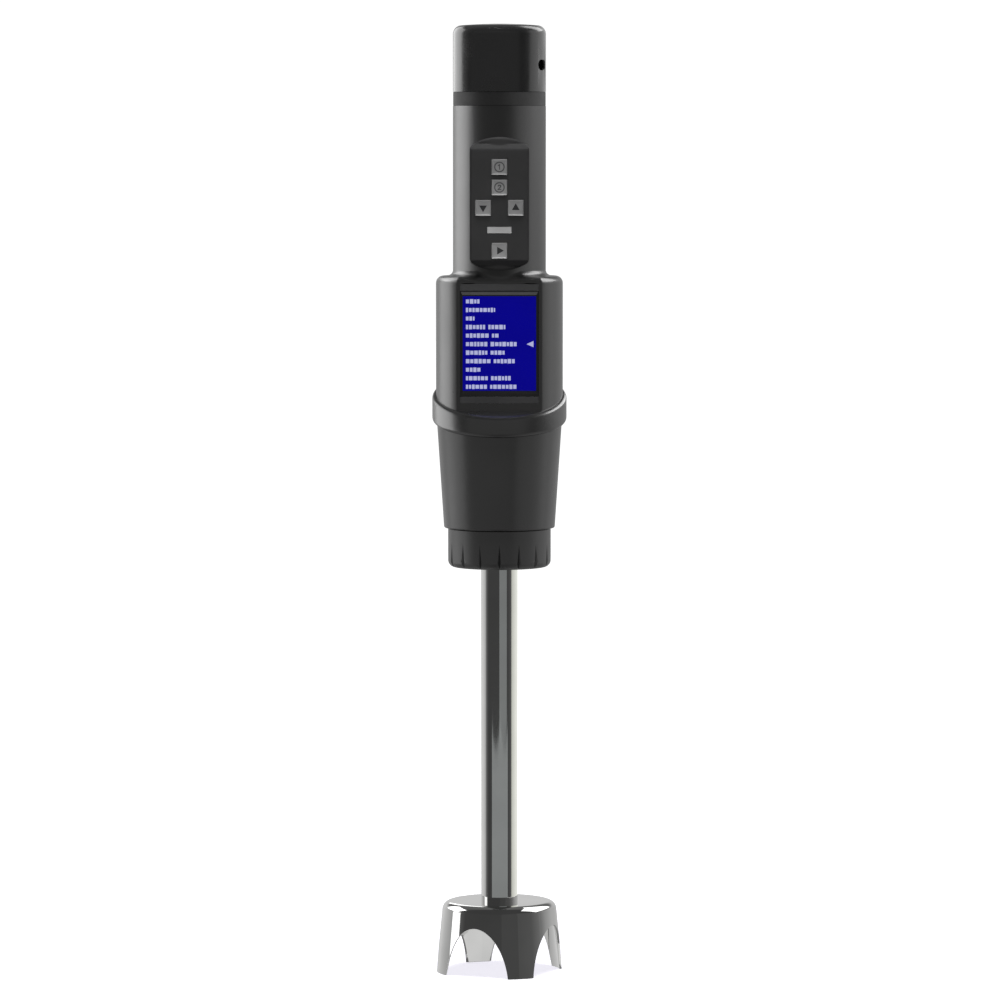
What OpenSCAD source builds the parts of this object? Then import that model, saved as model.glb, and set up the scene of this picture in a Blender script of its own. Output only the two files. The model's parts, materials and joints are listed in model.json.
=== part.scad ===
// Cordless immersion blender: battery handle with keypad, display housing, motor cup,
// lock nut and a removable foot (tube, guard, drive shaft and blade).
// Z is the spin axis, the front faces -Y, and the guard's feet stand on z = 0.

/* [Overall] */
// Height of the tool standing on its guard; the tube takes up any change
total_h = 646.5; // [590:0.5:760]
// Wall thickness of the moulded shells
wall = 2.5; // [2.2:0.1:2.7]

/* [Handle] */
// Diameter of the handle tube and of the cap on it
handle_d = 63.2; // [62.6:0.1:63.4]
// Height of the gloss cap at the top
cap_h = 46; // [40:1:55]
// Height of the rubber band under the cap
band_h = 9.5; // [6:0.5:12]
// Height of the handle between band and shoulder
handle_h = 115; // [115:0.5:122]
// Radius of the round edge of the cap's top
cap_fillet = 6; // [3:0.5:8]

/* [Keypad] */
// Width of the raised pad
pad_w = 40.2; // [39.8:0.1:41]
// Side of a square key
key_w = 10.5; // [9:0.1:10.9]
// Height of one key row to the next
key_pitch = 13.7; // [13.4:0.1:14]
// How far a key travels
key_travel = 0.8; // [0.3:0.1:0.8]

/* [Display housing] */
// Diameter of the display housing
housing_d = 86.3; // [85.4:0.1:86.6]
// Distance of the flat front from the spin axis
flat_d = 32.6; // [32.4:0.1:33]
// Height from the seam with the motor cup up to the shoulder
housing_h = 98; // [98:0.5:104]
// Width of the display window
screen_w = 50.6; // [46:0.1:51]
// Height of the display window
screen_h = 64; // [58:0.1:65]

/* [Collar and motor cup] */
// Diameter of the collar ring
collar_d = 91.4; // [90.6:0.1:94]
// Rise of the collar's top face per millimetre towards the back
collar_top_slope = 0.304; // [0.2:0.01:0.32]
// Rise of the collar's lower edge per millimetre towards the back
collar_low_slope = 0.204; // [0.12:0.002:0.22]
// Height of the motor cup below the seam
cup_h = 73.6; // [73:0.1:78]
// Diameter of the motor cup at its lower end
cup_low_d = 75.6; // [75:0.1:76]

/* [Lock nut] */
// Diameter of the lock nut
nut_d = 70; // [69.4:0.1:70.4]
// Number of flutes round the nut
flutes = 16; // [12:1:20]
// Depth of a flute at the nut's lower end
flute_depth = 1.7; // [0.8:0.1:1.8]

/* [Foot] */
// Outer diameter of the stainless tube
tube_d = 25; // [24.6:0.1:25.4]
// Height of the guard's flat top above the feet
guard_h = 48.5; // [46:0.5:52]
// Outer diameter of the guard at its feet
guard_d = 86.5; // [84:0.5:88]
// Height of the arches between the legs
arch_h = 33.6; // [28:0.1:34]
// Angle of the first leg from the front
leg_turn = 20; // [0:1:45]
// Radius that the blade sweeps
blade_r = 28; // [22:0.5:31]

/* [Hidden] */
$fn = 96;
e = 0.01;

// Colours
satin_black = [0.13, 0.13, 0.135];
gloss_black = [0.05, 0.05, 0.055];
rubber_black = [0.16, 0.16, 0.165];
pad_black = [0.10, 0.10, 0.105];
key_grey = [0.50, 0.51, 0.52];
screen_blue = [0.01, 0.01, 0.55];
polished = [0.80, 0.80, 0.81];
brushed = [0.66, 0.67, 0.68];
alloy = [0.72, 0.73, 0.74];
board_green = [0.05, 0.28, 0.14];
copper = [0.72, 0.40, 0.20];
cell_blue = [0.12, 0.26, 0.55];
gold = [0.83, 0.66, 0.30];

// Levels, from the top down
band_top = total_h - cap_h;
handle_top = band_top - band_h;
shoulder_z = handle_top - handle_h;
seam_z = shoulder_z - housing_h;
cup_z = seam_z - cup_h;
nut_gap = 0.5;
nut_h = 26.3;
nut_top = cup_z - nut_gap;
nut_z = nut_top - nut_h;
nose_z = cup_z - 16.4;

// Radii
handle_r = handle_d / 2 - 0.05;
cap_r = handle_d / 2;
bore_r = handle_r - wall - 0.05;
housing_r = housing_d / 2;
collar_r = collar_d / 2;
cup_top_r = housing_r - 0.75;
cup_low_r = cup_low_d / 2;
nut_r = nut_d / 2;
tube_r = tube_d / 2;
tube_bore_r = tube_r - 1.2;
shaft_r = 4;
running = 0.05;
guard_wall = 1.5;
screw_r = 1.5;
screw_ring_r = 32.7;

// Keypad
pad_front = handle_r + 3.05;
pad_top = shoulder_z + 93.9;
pad_low = shoulder_z + 3.9;
pad_mid = (pad_top + pad_low) / 2;
pad_bow_r = 38.5;
side_round = 1.6;
pocket_z = shoulder_z + 47.5;
pocket_w = 34.6;
pocket_h = 77.6;
light_w = 16.4;
light_h = 4.3;
key_proud = 1.2;
key_flange = 1.6;
switch_front = pad_front - 3.9;
flange_back = switch_front + key_travel + 0.05;
key_rows = shoulder_z + 73.8;
key_side_x = 11;
light_z = shoulder_z + 31.5;
start_z = shoulder_z + 17.6;
key_places = [[0, key_rows], [0, key_rows - key_pitch], [-key_side_x, key_rows - 2 * key_pitch],
    [key_side_x, key_rows - 2 * key_pitch], [0, start_z]];

// Display
screen_z = seam_z + 52.9;
frame_w = screen_w + 2.4;
frame_h = screen_h + 7.2;

// Charging port
socket_az = -23;
socket_z = total_h - 28;
socket_r = 3.4;
port_r = 3.6;
port_reach = 2.4;
socket_floor = 23.4;
pin_r = 1.1;
contact_r = 3;
contact_bore_r = 2.2;
contact_gap = 0.05;

// ---- helpers ----
function arc(cx, cy, r, a0, a1, n) =
    [for (i = [0:n]) let (a = a0 + (a1 - a0) * i / n) [cx + r * cos(a), cy + r * sin(a)]];

// A 2D shape drawn in X and Z, from y = -front back to y = -back
module plate(front, back)
    translate([0, -back, 0]) rotate([90, 0, 0]) linear_extrude(front - back) children();

module slab(w, h, front, back, x = 0, z = 0)
    translate([x - w / 2, -front, z - h / 2]) cube([w, front - back, h]);

module ring(r_out, r_in, low, high)
    difference() {
        translate([0, 0, low]) cylinder(r = r_out, h = high - low);
        translate([0, 0, low - 1]) cylinder(r = r_in, h = high - low + 2);
    }

module rod(r, low, high) translate([0, 0, low]) cylinder(r = r, h = high - low);

// A sector of a ring, centred on angle mid
module sector(r_out, r_in, low, high, mid, width)
    intersection() {
        ring(r_out, r_in, low, high);
        rotate([0, 0, mid]) translate([0, 0, low - 1])
            linear_extrude(high - low + 2)
                polygon([[0, 0], [60, -60 * tan(width / 2)], [60, 60 * tan(width / 2)]]);
    }

// A closed solid through rings of points, each with the same number of points
module loft(rings) {
    n = len(rings[0]);
    m = len(rings);
    polyhedron(
        points = [for (r = rings) for (p = r) p],
        faces = concat(
            [[for (i = [0:n - 1]) i]],
            [for (k = [0:m - 2]) for (i = [0:n - 1]) let (j = (i + 1) % n)
                each [[k * n + i, (k + 1) * n + i, (k + 1) * n + j],
                    [k * n + i, (k + 1) * n + j, k * n + j]]],
            [[for (i = [n - 1:-1:0]) (m - 1) * n + i]]));
}

// ---- battery cap and charging port ----
module battery_cap() color(gloss_black) {
    crown = 1;
    top = total_h - crown;
    flat_r = cap_r - cap_fillet;
    difference() {
        rotate_extrude() polygon(concat(
            [for (i = [0:5]) let (r = flat_r * i / 6) [r, total_h - crown * pow(r / flat_r, 2)]],
            arc(flat_r, top - cap_fillet, cap_fillet, 90, 0, 18),
            [[cap_r, band_top], [bore_r - 0.05, band_top], [bore_r - 0.05, band_top - 14],
             [bore_r - wall, band_top - 14], [bore_r - wall, band_top + 4], [bore_r, band_top + 6.4],
             [bore_r, top - 8], [bore_r - 4, top - 3.4], [0, top - 3.4]]));
        at_socket() {
            for (side = [-1, 1]) translate([0, side * port_reach, 0]) rod(port_r, socket_floor, cap_r);
            translate([-port_r, -port_reach, socket_floor])
                cube([2 * port_r, 2 * port_reach, cap_r - socket_floor]);
        }
    }
}

module at_socket() rotate([0, 0, socket_az]) translate([0, 0, socket_z]) rotate([0, 90, 0]) children();

module charge_socket() color(gloss_black) intersection() {
    at_socket() difference() {
        rod(port_reach + port_r + 0.7, socket_floor - 4, cap_r);
        rod(socket_r, socket_floor, cap_r + 1);
        rod(pin_r + contact_gap, socket_floor - 5, cap_r);
        ring(contact_r + contact_gap, contact_bore_r - contact_gap, socket_floor - 1.5, socket_floor + 1);
    }
    rod(bore_r - 0.03, socket_z - 10, socket_z + 10);
}

module charge_contacts() color(gold) at_socket() {
    rod(pin_r, socket_floor - 4, socket_floor);
    ring(contact_r, contact_bore_r, socket_floor - 1.5, socket_floor);
}

module charge_board() color(board_green)
    rotate([0, 0, socket_az]) translate([socket_floor - 5.6, -8, socket_z - 9]) cube([1.6, 16, 18]);

module seal_band() color(rubber_black)
    rotate_extrude() polygon([[bore_r, handle_top], [handle_r - 0.5, handle_top],
        [handle_r - 0.15, handle_top + 0.35], [handle_r - 0.15, band_top - 0.35],
        [handle_r - 0.5, band_top], [bore_r, band_top]]);

// ---- handle and battery ----
handle_low = shoulder_z - 6.3;
module handle_shell() color(satin_black) difference() {
    ring(handle_r, bore_r, handle_low, handle_top);
    slab(pocket_w + 0.4, pocket_h + 0.8, handle_r + 2, 10, z = pocket_z);
}

cell_r = 9.2;
cell_h = 65;
holder_h = 2.5;
cell_low = shoulder_z - 2;
module battery_cells() color(cell_blue)
    for (layer = [0, 1]) for (k = [0:2])
        rotate([0, 0, 90 + 120 * k]) translate([cell_r * 2 / sqrt(3) + 0.12, 0, 0]) {
            low = cell_low + layer * (cell_h + holder_h);
            rod(cell_r, low, low + cell_h - 1);
            rod(3, low + cell_h - 1, low + cell_h);
        }

module cell_holders() color(pad_black)
    for (layer = [0:2]) {
        low = cell_low - holder_h + layer * (cell_h + holder_h);
        difference() {
            rod(layer == 2 ? 25 : 27, low, low + holder_h);
            rod(5, low - 1, low + holder_h + 1);
        }
    }

// ---- keypad ----
// Outline of the pad: straight sides, arched ends and small round corners
function pad_outline(inset) = let (
    w = pad_w / 2 - inset, c = 4 - inset, bow = pad_bow_r - inset, half_h = (pad_top - pad_low) / 2,
    rise = sqrt(pow(bow - c, 2) - pow(w - c, 2)), a = atan2(rise, w - c), cz = half_h - pad_bow_r + rise,
    top = concat(arc(w - c, cz, c, 0, a, 5), [for (i = [1:15]) let (t = a + (180 - 2 * a) * i / 16)
        [bow * cos(t), half_h - pad_bow_r + bow * sin(t)]], arc(c - w, cz, c, 180 - a, 180, 5)))
    [for (p = concat(top, [for (p = top) -p])) [p.x, p.y + pad_mid]];

module keypad_bezel() color(pad_black) difference() {
    union() {
        for (step = [0, 1]) intersection() {
            rod(handle_r + 0.45 + 0.45 * step, pad_low - 1, pad_top + 1);
            plate(40, 20) polygon(pad_outline(step));
        }
        intersection() {
            plate(40, 20) polygon(pad_outline(0));
            raised_block();
            translate([0, 0, pad_low]) linear_extrude(pad_top - pad_low) polygon(concat(
                arc(pad_w / 2 - side_round, side_round - pad_front, side_round, 0, -90, 6),
                arc(side_round - pad_w / 2, side_round - pad_front, side_round, 270, 180, 6),
                [[-pad_w / 2, -20], [pad_w / 2, -20]]));
        }
    }
    rod(handle_r + 0.05, pad_low - 5, pad_top + 5);
    slab(pocket_w, pocket_h, pad_front - 2, 20, z = pocket_z);
    for (p = key_places) slab(key_w + 0.4, key_w + 0.4, pad_front + 1, 25, p[0], p[1]);
    slab(light_w + 0.2, light_h + 0.2, pad_front + 1, 25, z = light_z);
}

// Side view of the raised block: a flat front with a slope at each end
module raised_block() {
    low = pad_low + 3.2;
    high = pad_top - 4.6;
    translate([-30, 0, 0]) rotate([90, 0, 90]) linear_extrude(60)
        polygon([[-20, low], [-handle_r - 0.4, low], [-pad_front, low + 3.7], [-pad_front, high - 3.7],
            [-handle_r - 0.4, high], [-20, high]]);
}

module keypad_board() color(board_green)
    slab(pocket_w - 0.6, pocket_h - 1.6, pad_front - 5, pad_front - 6.6, z = pocket_z);

module key_switches() color([0.2, 0.2, 0.2]) for (p = key_places) {
    slab(6, 6, switch_front - 0.6, switch_front - 1.1, p[0], p[1]);
    translate([p[0], 0.6 - switch_front, p[1]]) rotate([90, 0, 0]) cylinder(r = 1.7, h = 0.6);
}

module status_light() color([0.62, 0.62, 0.62]) {
    slab(light_w, light_h, pad_front + 0.1, pad_front - 2, z = light_z);
    slab(20, 7, pad_front - 2, pad_front - 3, z = light_z);
}

module key(place) color(key_grey) {
    front = pad_front + key_proud;
    bevel = 0.7;
    hull() {
        slab(key_w, key_w, front - bevel, pad_front - 1, place[0], place[1]);
        slab(key_w - 2 * bevel, key_w - 2 * bevel, front, pad_front - 1, place[0], place[1]);
    }
    slab(key_w, key_w, pad_front - 1 + e, flange_back, place[0], place[1]);
    slab(key_w + key_flange, key_w + key_flange, pad_front - 2.05, flange_back, place[0], place[1]);
}

module key_one() key(key_places[0]);
module key_two() key(key_places[1]);
module key_down() key(key_places[2]);
module key_up() key(key_places[3]);
module key_start() key(key_places[4]);

// ---- display housing ----
// Outline of the housing: a circle with a flat front and round corners
function housing_outline(inset, z, corner = 3) = let (
    r = housing_r - inset, d = flat_d - inset, c = max(corner - inset, 0.6),
    cx = sqrt(pow(r - c, 2) - pow(d - c, 2)), a = atan2(-(d - c), cx),
    flat = concat(arc(0, 0, r, a, 180 - a, 56), arc(-cx, c - d, c, 180 - a, 270, 5),
        [for (i = [1:7]) [-cx + 2 * cx * i / 8, -d]], arc(cx, c - d, c, 270, 360 + a, 5)))
    [for (i = [0:len(flat) - 1]) if (i == 0 || norm(flat[i] - flat[i - 1]) > 0.001)
        [flat[i].x, flat[i].y, z]];

module housing_solid(inset, low, high, fillet)
    loft(concat([housing_outline(inset, low)],
        [for (t = [0:15:90])
            housing_outline(inset + fillet * (1 - cos(t)), high - fillet + fillet * sin(t))]));

module display_housing() color(satin_black) difference() {
    housing_solid(0, seam_z, shoulder_z, 5);
    housing_solid(wall, seam_z - 1, shoulder_z - 3, 3);
    rod(handle_r + 0.05, shoulder_z - 10, shoulder_z + 1);
    slab(frame_w + 0.2, frame_h + 0.2, flat_d + 1, flat_d - wall - 1, z = screen_z);
}

module display_frame() color(gloss_black) difference() {
    union() {
        slab(frame_w, frame_h, flat_d - 0.5, flat_d - wall - 0.5, z = screen_z);
        slab(frame_w - 6, frame_h + 6, flat_d - wall - 0.05, flat_d - wall - 1.5, z = screen_z);
    }
    slab(screen_w + 0.1, screen_h + 0.1, flat_d, 20, z = screen_z);
}

module display_glass() color([0.2, 0.2, 0.25, 0.5])
    slab(screen_w, screen_h, flat_d - 1, flat_d - 1.9, z = screen_z);

module display_panel() color(screen_blue)
    slab(screen_w, screen_h, flat_d - 1.95, flat_d - 4.4, z = screen_z);

module display_board() color(board_green)
    slab(frame_w + 3, frame_h + 3, flat_d - 4.4, flat_d - 6, z = screen_z);

// ---- electronics above the motor ----
board_z = seam_z + 10;
module controller_board() color(board_green) difference() {
    rod(34, board_z, board_z + 1.6);
    slab(80, 10, 50, 24, z = board_z);
}

module board_capacitors() color([0.15, 0.15, 0.3])
    for (x = [-14, 0, 14]) translate([x, 12, 0]) rod(6, board_z + 1.6, board_z + 22);

module motor_leads() color([0.5, 0.1, 0.1])
    for (k = [0:2]) rotate([0, 0, 60 + 30 * k]) translate([22, 0, 0]) rod(1.4, seam_z + 4, board_z);

// ---- collar ring ----
collar_side_z = seam_z + 17.4;
collar_round = 2.6;
collar_low_z = seam_z - 1.6;
// Radius of the motor cup's outside at a height
function cup_r(z) = cup_low_r + (cup_top_r - cup_low_r) * (z - cup_z) / (seam_z - 3 - cup_z);
// Radius of the collar's inside, which follows the flat front, at an angle from the front
function collar_in(a, gap = 0.1) = let (c = cos(a))
    c > 0 ? min(housing_r + gap, (flat_d + gap) / c) : housing_r + gap;

module collar_ring() color(satin_black) {
    steps = 96;
    low_fillet = 3.7;
    section = function (a) let (
        y = -cos(a),
        low = function (r) collar_low_z + collar_low_slope * r * y,
        top = function (r) collar_side_z + collar_top_slope * r * y,
        r_in = collar_in(a),
        lip_z = low(cup_top_r),
        seat_z = max(seam_z + 0.1, lip_z + 0.15),
        on_cup = max(0, min(1, (seam_z + 0.1 - lip_z) / 1.5)),
        over_cup = function (r) on_cup * r + (1 - on_cup) * (housing_r + 0.2))
        concat([[r_in, top(r_in)], [r_in, seat_z], [over_cup(cup_top_r + 0.4), seat_z],
            [over_cup(cup_r(min(lip_z, seam_z)) + 0.15), lip_z]],
            [for (t = [15:15:90]) let (r = collar_r - low_fillet + low_fillet * sin(t))
                [r, lip_z + (low(collar_r) - low(cup_top_r)) * (r - cup_top_r) / (collar_r - cup_top_r)
                    + low_fillet * (1 - cos(t))]],
            [for (t = [0:18:90]) let (r = collar_r - collar_round + collar_round * cos(t))
                [r, top(r) - collar_round * (1 - sin(t))]]);
    n = len(section(0));
    polyhedron(
        points = [for (i = [0:steps - 1]) let (a = 360 * i / steps, s = section(a))
            for (p = s) [p[0] * sin(a), -p[0] * cos(a), p[1]]],
        faces = [for (i = [0:steps - 1]) for (k = [0:n - 1]) let (
            j = (i + 1) % steps, l = (k + 1) % n)
            each [[i * n + k, j * n + k, j * n + l], [i * n + k, j * n + l, i * n + l]]]);
}

// ---- motor cup, flange and motor ----
module motor_cup() color(satin_black) difference() {
    rotate_extrude() polygon(concat(
        arc(cup_low_r - 1.2, cup_z + 1.2, 1.2, -90, 0, 9),
        [[cup_r(seam_z - 3), seam_z - 3], [cup_r(seam_z), seam_z], [cup_r(seam_z) - wall, seam_z],
         [cup_low_r - 2, cup_z + 7], [cup_low_r - 2, cup_z + 3], [31.1, cup_z + 3], [31.1, cup_z]]));
    at_screws() rod(screw_r + running, cup_z + 0.6, cup_z + 12);
}

module at_screws() for (k = [0:5]) rotate([0, 0, 30 + 60 * k]) translate([screw_ring_r, 0, 0]) children();

module motor_flange() color(alloy) difference() {
    rotate_extrude() polygon([[21, nose_z], [31, nose_z], [31, nose_z + 2], [32.4, nose_z + 2],
        [32.4, nose_z + 5], [31, nose_z + 5], [31, cup_z + 3], [cup_low_r - 2.2, cup_z + 3],
        [cup_low_r - 2.2, cup_z + 7], [27.9, cup_z + 7], [27.9, cup_z + 10.6], [25, cup_z + 10.6],
        [25, cup_z + 7], [11, cup_z + 7], [11, cup_z - 0.4], [9, cup_z - 0.4], [9, nose_z + 13],
        [21, nose_z + 13]]);
    at_screws() rod(screw_r + running, cup_z + 0.6, cup_z + 12);
}

module flange_screws() color(brushed) at_screws() {
    rod(screw_r, cup_z + 0.6, cup_z + 7);
    difference() {
        rod(2.4, cup_z + 7, cup_z + 9);
        translate([0, 0, cup_z + 8]) cylinder(r = 1.3, h = 2, $fn = 6);
    }
}

can_z = cup_z + 7;
can_top = seam_z + 4;
module motor_can() color(brushed) rotate_extrude() polygon([[28, can_z], [30, can_z], [30, can_top - 1.5],
    [28.5, can_top], [13, can_top], [13, can_top + 4], [4.6, can_top + 4], [4.6, can_top + 2.1],
    [11, can_top + 2.1], [11, can_top - 5], [13, can_top - 5], [13, can_top - 3], [28, can_top - 3]]);

core_low = can_z + 15.6;
core_high = core_low + 40;
module stator_core() color([0.3, 0.31, 0.33]) difference() {
    ring(27.9, 18, core_low, core_high);
    for (k = [0:8]) rotate([0, 0, 40 * k]) {
        translate([20, -3, core_low - 1]) cube([5, 6, core_high - core_low + 2]);
        translate([17, -0.8, core_low - 1]) cube([4, 1.6, core_high - core_low + 2]);
    }
}

module stator_coils() color(copper)
    for (k = [0:8]) rotate([0, 0, 40 * k]) translate([20.2, -2.8, core_low - 5])
        cube([4.6, 5.6, core_high - core_low + 10]);

module motor_bearings() color(polished)
    for (low = [cup_z - 0.4, can_top - 5]) ring(10.98, shaft_r + running, low, low + 7);

module motor_shaft() color(brushed) rod(shaft_r, nose_z + 9, can_top + 3);

module rotor_core() color([0.3, 0.31, 0.33]) difference() {
    rod(15, core_low, core_high);
    rod(shaft_r, core_low - 1, core_high + 1);
}

module rotor_magnets() color([0.45, 0.45, 0.47])
    for (k = [0:7]) sector(17.3, 15, core_low, core_high, 45 * k, 40);

module drive_socket() color(brushed) difference() {
    rod(8.5, nose_z - 1, nose_z + 12.6);
    rod(shaft_r, nose_z + 9, nose_z + 14);
    translate([0, 0, nose_z - 2]) cylinder(r = 5.9, h = 11, $fn = 6);
}

// ---- lock nut ----
lip_z = nut_z + 4;
module lock_nut() color(satin_black) {
    fillet = 4.8;
    difference() {
        rotate_extrude() polygon(concat([[28.4, nut_z]],
            arc(nut_r - fillet, nut_z + fillet, fillet, -90, 0, 15),
            [[nut_r, nut_top - 0.4], [nut_r - 0.4, nut_top], [31.2, nut_top], [31.2, nose_z + 6.3],
             [32.8, nose_z + 6.3], [32.8, lip_z], [28.4, lip_z]]));
        for (k = [0:flutes - 1]) rotate([0, 0, -90 + 360 / flutes * k]) flute();
    }
    for (k = [0:2]) sector(28.5, 24.4, nut_z, lip_z, 60 + 120 * k, 50);
}

// A V groove that is deepest at the nut's lower end and runs out 17.5 above it
module flute()
    translate([nut_r, 0, nut_z + 17.5]) rotate([0, atan2(flute_depth, 16), 0])
        rotate([0, 0, -45]) translate([0, 0, -30]) cube([4, 4, 60]);

// ---- foot: hub, tube, guard and seals ----
module tube_hub() color(alloy) {
    difference() {
        union() {
            rod(24, nut_z + 0.9, nose_z - 0.1);
            rod(20.9, nose_z - 0.2, nose_z + 12);
        }
        rod(tube_r + running, nut_z, nose_z - 3);
        rod(10, nose_z - 4, nose_z + 13);
        ring(22, 18.2, nose_z + 3.9, nose_z + 6.9);
    }
    for (k = [0:2]) sector(28, 23.9, nut_z + 4.4, nose_z - 1.6, 120 * k, 50);
}

module hub_seal() color(rubber_black)
    translate([0, 0, nose_z + 5.4]) rotate_extrude() translate([19.6, 0]) circle(r = 1.35);

neck_z = guard_h + 3.4;
module shaft_tube() color(brushed) ring(tube_r, tube_bore_r, neck_z, nose_z - 3);

module tube_bushings() color([0.55, 0.42, 0.2])
    for (low = [neck_z, (neck_z + nose_z) / 2, nose_z - 18])
        ring(tube_bore_r - 0.02, shaft_r + running, low, low + 14);

module guard_bell() color(polished) {
    fillet = 6;
    foot_r = guard_d / 2;
    rim_r = foot_r - 10.15;
    lean = 5.6;
    difference() {
        rotate_extrude() polygon(concat([[8, neck_z], [tube_r, neck_z], [tube_r, guard_h]],
            arc(rim_r, guard_h - fillet, fillet, 90, lean, 15),
            [[foot_r, 0], [foot_r - guard_wall, 0]],
            arc(rim_r, guard_h - fillet, fillet - guard_wall, lean, 90, 8),
            [[10, guard_h - guard_wall], [10, guard_h - 5], [8, guard_h - 5]]));
        for (k = [0:3]) rotate([0, 0, leg_turn + 45 + 90 * k]) plate(60, 14) polygon(arch());
    }
}

// Half an ellipse whose centre lies below the feet
function arch() = let (drop = 12, half_w = 24.1, n = 40)
    [for (i = [0:n]) [half_w * cos(180 * i / n), -drop + (arch_h + drop) * sin(180 * i / n)]];

module shaft_seal() color(rubber_black) ring(7.98, shaft_r + 0.08, guard_h - 4.5, neck_z);

// ---- drive line ----
blade_z = guard_h - 14;
blade_t = 1.6;
module drive_shaft() color(brushed) {
    rod(shaft_r, blade_z + blade_t, nose_z - 2);
    rod(2.9, blade_z - 4.4, blade_z + 2);
}

module drive_plug() color(brushed) difference() {
    translate([0, 0, nose_z - 2]) cylinder(r = 5.6, h = 10.4, $fn = 6);
    rod(1.5, nose_z + 4, nose_z + 9);
}

module blade_spacer() color(polished) ring(6, shaft_r + 0.02, blade_z + blade_t, guard_h - 5.5);

module blade() color(polished) difference() {
    union() {
        rod(7, blade_z, blade_z + blade_t);
        for (side = [0, 180]) rotate([0, 0, side]) {
            wing([[-4.5, 3], [4.5, 3], [5, 18], [1, blade_r], [-4.5, 21]]);
            rotate([0, 0, 90]) {
                wing([[-4.5, 3], [4.5, 3], [4.5, 13], [-4.5, 13]]);
                translate([0, 12, blade_z]) rotate([24, 0, 0]) linear_extrude(blade_t)
                    polygon([[-4.2, 0.3], [4.2, 0.3], [4, 9], [0, blade_r - 13], [-4.2, 10]]);
            }
        }
    }
    rod(2.95, blade_z - 1, blade_z + 3);
}

module wing(outline) translate([0, 0, blade_z]) linear_extrude(blade_t) polygon(outline);

module blade_nut() color(polished) difference() {
    union() {
        translate([0, 0, blade_z - 4]) cylinder(r = 5, h = 4, $fn = 6);
        translate([0, 0, blade_z - 6]) cylinder(r1 = 2.6, r2 = 4.2, h = 2);
    }
    rod(2.95, blade_z - 4.4, blade_z + 1);
}

battery_cap();
charge_socket();
charge_contacts();
charge_board();
seal_band();
handle_shell();
battery_cells();
cell_holders();
keypad_bezel();
keypad_board();
key_switches();
status_light();
key_one();
key_two();
key_down();
key_up();
key_start();
display_housing();
display_frame();
display_glass();
display_panel();
display_board();
controller_board();
board_capacitors();
motor_leads();
collar_ring();
motor_cup();
motor_flange();
flange_screws();
motor_can();
stator_core();
stator_coils();
motor_bearings();
motor_shaft();
rotor_core();
rotor_magnets();
drive_socket();
lock_nut();
tube_hub();
hub_seal();
shaft_tube();
tube_bushings();
guard_bell();
shaft_seal();
drive_shaft();
drive_plug();
blade_spacer();
blade();
blade_nut();
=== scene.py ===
"""Looks of a cordless immersion blender: materials, shells, keys, display, polished guard, light."""

import json
import math
import random

import bmesh
import bpy
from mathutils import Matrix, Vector

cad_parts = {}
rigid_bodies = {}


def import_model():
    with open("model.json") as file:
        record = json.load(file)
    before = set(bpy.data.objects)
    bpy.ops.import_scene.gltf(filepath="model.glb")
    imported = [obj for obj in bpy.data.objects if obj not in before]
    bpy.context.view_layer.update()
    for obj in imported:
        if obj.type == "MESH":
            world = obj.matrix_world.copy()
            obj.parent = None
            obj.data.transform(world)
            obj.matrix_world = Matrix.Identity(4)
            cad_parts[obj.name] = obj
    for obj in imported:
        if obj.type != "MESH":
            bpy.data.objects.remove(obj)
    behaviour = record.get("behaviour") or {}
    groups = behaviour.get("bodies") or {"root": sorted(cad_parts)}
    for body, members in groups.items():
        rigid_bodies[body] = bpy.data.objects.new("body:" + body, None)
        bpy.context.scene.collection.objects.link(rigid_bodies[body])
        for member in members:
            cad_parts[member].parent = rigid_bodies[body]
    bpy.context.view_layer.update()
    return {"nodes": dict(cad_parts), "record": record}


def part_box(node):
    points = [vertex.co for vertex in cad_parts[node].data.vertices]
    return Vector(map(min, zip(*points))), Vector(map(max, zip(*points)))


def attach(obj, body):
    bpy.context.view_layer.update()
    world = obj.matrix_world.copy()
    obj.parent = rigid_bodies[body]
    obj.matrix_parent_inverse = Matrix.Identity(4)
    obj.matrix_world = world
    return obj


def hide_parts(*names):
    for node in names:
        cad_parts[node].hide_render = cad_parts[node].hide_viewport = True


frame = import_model()

MM = 0.001
TAU = 2 * math.pi


def box_mm(node):
    """Lowest and highest corner of a CAD node, in millimetres."""
    low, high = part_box(node)
    return low / MM, high / MM


# ---------------------------------------------------------------- sizes, from the frame

housing_low, housing_high = box_mm("display_housing")
housing_r = housing_high.y
flat_d = -housing_low.y
seam_z = housing_low.z
shoulder_z = housing_high.z
collar_r = box_mm("collar_ring")[1].x
handle_r = box_mm("handle_shell")[1].x
pad_low, pad_high = box_mm("keypad_bezel")
pad_front = -pad_low.y
frame_low, frame_high = box_mm("display_frame")
panel_low, panel_high = box_mm("display_panel")
guard_top = box_mm("guard_bell")[1].z
tube_r = box_mm("shaft_tube")[1].x

WALL = 2.5  # thickness of the housing's wall
TAB = 3.0  # how far the display frame's CAD tabs reach past its visible part, above and below


# ---------------------------------------------------------------- mesh helpers


def arc(cx, cy, r, start, end, steps):
    """Points of a circular arc, angles in degrees."""
    turns = [math.radians(start + (end - start) * i / steps) for i in range(steps + 1)]
    return [(cx + r * math.cos(a), cy + r * math.sin(a)) for a in turns]


def circle(r, z, steps):
    """Points of a level circle round the axis."""
    return [(x, y, z) for x, y in arc(0, 0, r, 0, 360, steps)[:-1]]


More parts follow.
